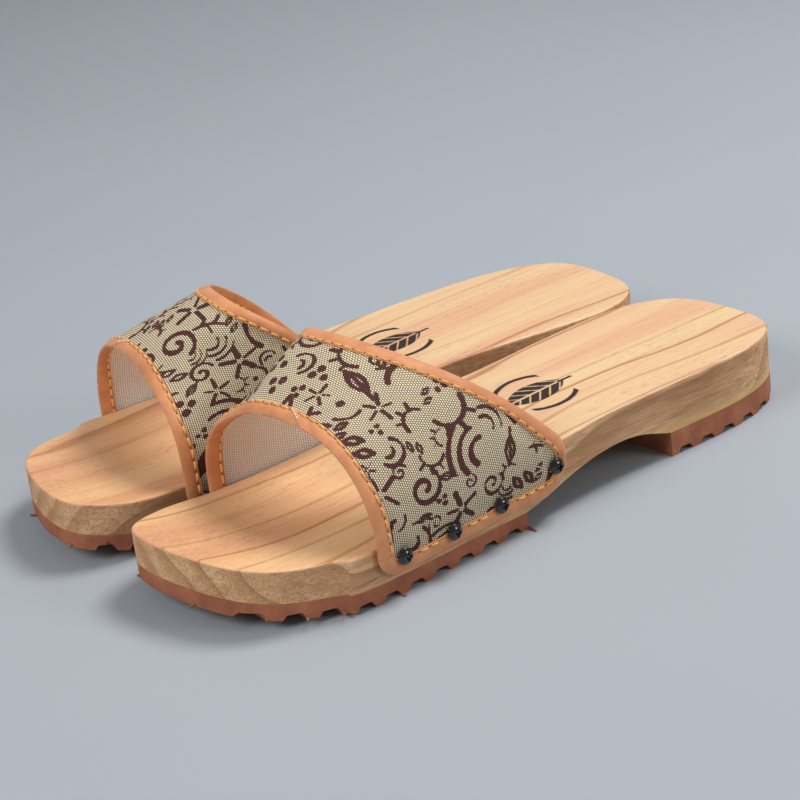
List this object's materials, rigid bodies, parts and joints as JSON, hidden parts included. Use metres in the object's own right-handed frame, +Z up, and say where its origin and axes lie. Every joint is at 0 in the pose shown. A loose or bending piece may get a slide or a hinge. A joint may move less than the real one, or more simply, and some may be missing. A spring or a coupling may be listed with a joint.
{
  "type": "spa slippers",
  "caption": "Pair of wooden slide slippers with shaped footbeds, ribbed rubber treads and wide padded fabric straps screwed to the sides.",
  "frame": {"origin": "on the floor, in the middle of the pair's bounding box", "axes": "+Z up; the toes point to -Y and the heels to +Y; the left slipper stands at +X and the right one at -X"},
  "size_m": [0.1944, 0.2778, 0.0783],
  "materials": {
    "footbed_wood": "smooth sanded pale timber with a lengthwise grain",
    "sole_rubber": "matte moulded rubber",
    "strap_fabric": "woven jacquard with a dark pattern",
    "strap_padding": "soft open foam",
    "strap_lining": "knitted mesh",
    "edge_tape": "fine ribbed binding tape",
    "seam_thread": "twisted sewing thread",
    "screw_steel": "glossy black"
  },
  "bodies": {
    "left_slipper": {"left_wood_sole": "footbed_wood", "left_heel_tread": "sole_rubber", "left_forefoot_tread": "sole_rubber", "left_vamp_lining": "strap_lining", "left_vamp_foam": "strap_padding", "left_vamp_fabric": "strap_fabric", "left_edge_tape": "edge_tape", "left_outer_screw_1": "screw_steel", "left_outer_screw_2": "screw_steel", "left_outer_screw_3": "screw_steel", "left_outer_screw_4": "screw_steel", "left_inner_screw_1": "screw_steel", "left_inner_screw_2": "screw_steel", "left_inner_screw_3": "screw_steel", "left_inner_screw_4": "screw_steel"},
    "right_slipper": {"right_wood_sole": "footbed_wood", "right_heel_tread": "sole_rubber", "right_forefoot_tread": "sole_rubber", "right_vamp_lining": "strap_lining", "right_vamp_foam": "strap_padding", "right_vamp_fabric": "strap_fabric", "right_edge_tape": "edge_tape", "right_outer_screw_1": "screw_steel", "right_outer_screw_2": "screw_steel", "right_outer_screw_3": "screw_steel", "right_outer_screw_4": "screw_steel", "right_inner_screw_1": "screw_steel", "right_inner_screw_2": "screw_steel", "right_inner_screw_3": "screw_steel", "right_inner_screw_4": "screw_steel"}
  },
  "joints": [
    {"name": "right_slipper_lift", "type": "slide", "parent": "left_slipper", "child": "right_slipper", "axis": [0, 0, 1], "range_m": [0, 0.15]}
  ]
}
